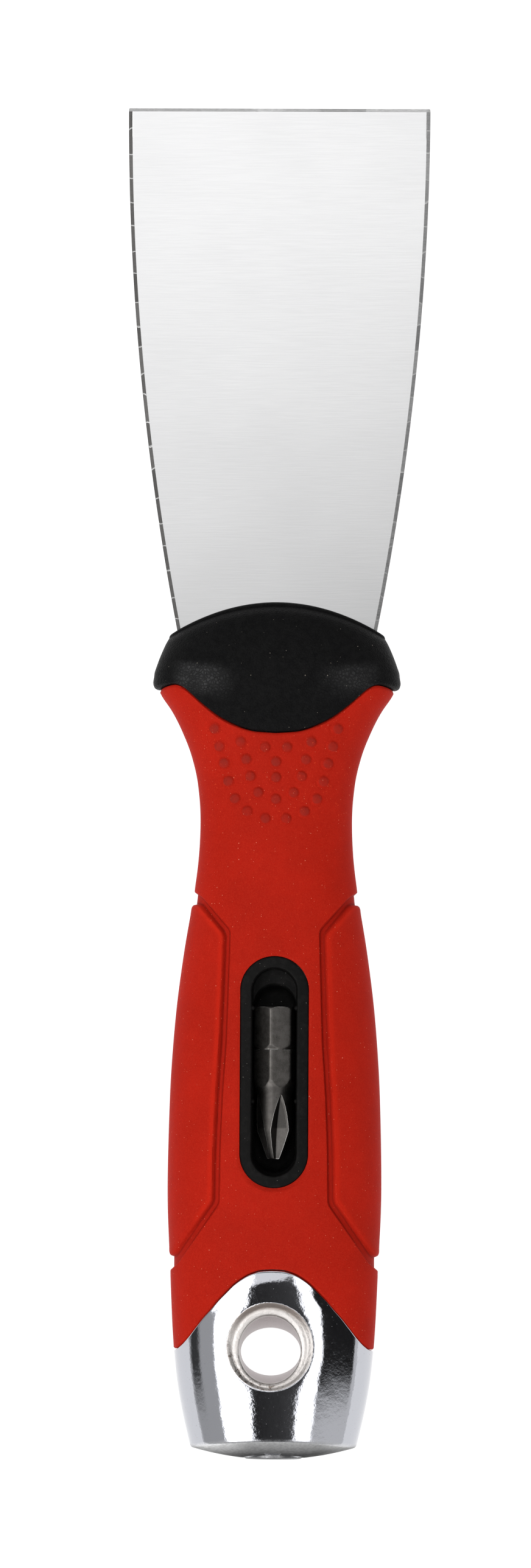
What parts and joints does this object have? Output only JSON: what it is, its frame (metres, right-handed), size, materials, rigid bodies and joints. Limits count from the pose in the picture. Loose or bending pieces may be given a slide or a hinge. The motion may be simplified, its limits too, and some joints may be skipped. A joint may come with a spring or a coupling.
{
  "type": "painters multi tool",
  "caption": "Stiff scraper blade with a two-material grip, a stored screwdriver bit in the front, and a metal hammer end with a hang hole and a bit socket.",
  "frame": {"origin": "middle of the tool's length and width, on the surface it lies on with its front face up", "axes": "+Y along the tool towards the scraping edge, +X across it to the right seen from the front, +Z out of the front face"},
  "size_m": [0.0502, 0.2248, 0.0236],
  "materials": {
    "blade_steel": "satin ground stainless steel",
    "red_soft_grip": "matte red soft-touch overmould",
    "black_soft_grip": "black soft-touch overmould with a fine leather grain",
    "tray_plastic": "fine matte black",
    "core_plastic": "plain moulded, hidden inside the grip",
    "chrome": "polished chrome plate on a casting",
    "pin_steel": "turned steel",
    "bit_steel": "dark phosphate, fine grained",
    "magnet": "nickel plated"
  },
  "bodies": {
    "handle": {"blade": "blade_steel", "core_front": "core_plastic", "core_rear": "core_plastic", "tang_rivet_1": "pin_steel", "tang_rivet_2": "pin_steel", "tang_rivet_3": "pin_steel", "tang_rivet_4": "pin_steel", "hammer_cap": "chrome", "cap_pin_1": "pin_steel", "cap_pin_2": "pin_steel", "bit_socket_sleeve": "pin_steel", "socket_magnet": "magnet", "grip_sleeve": "red_soft_grip", "bolster": "black_soft_grip", "bit_tray": "tray_plastic"},
    "bit": {"screwdriver_bit": "bit_steel"}
  },
  "joints": [
    {"name": "bit_lift", "type": "slide", "parent": "handle", "child": "bit", "axis": [0, 0, 1], "range_m": [0, 0.03]}
  ]
}
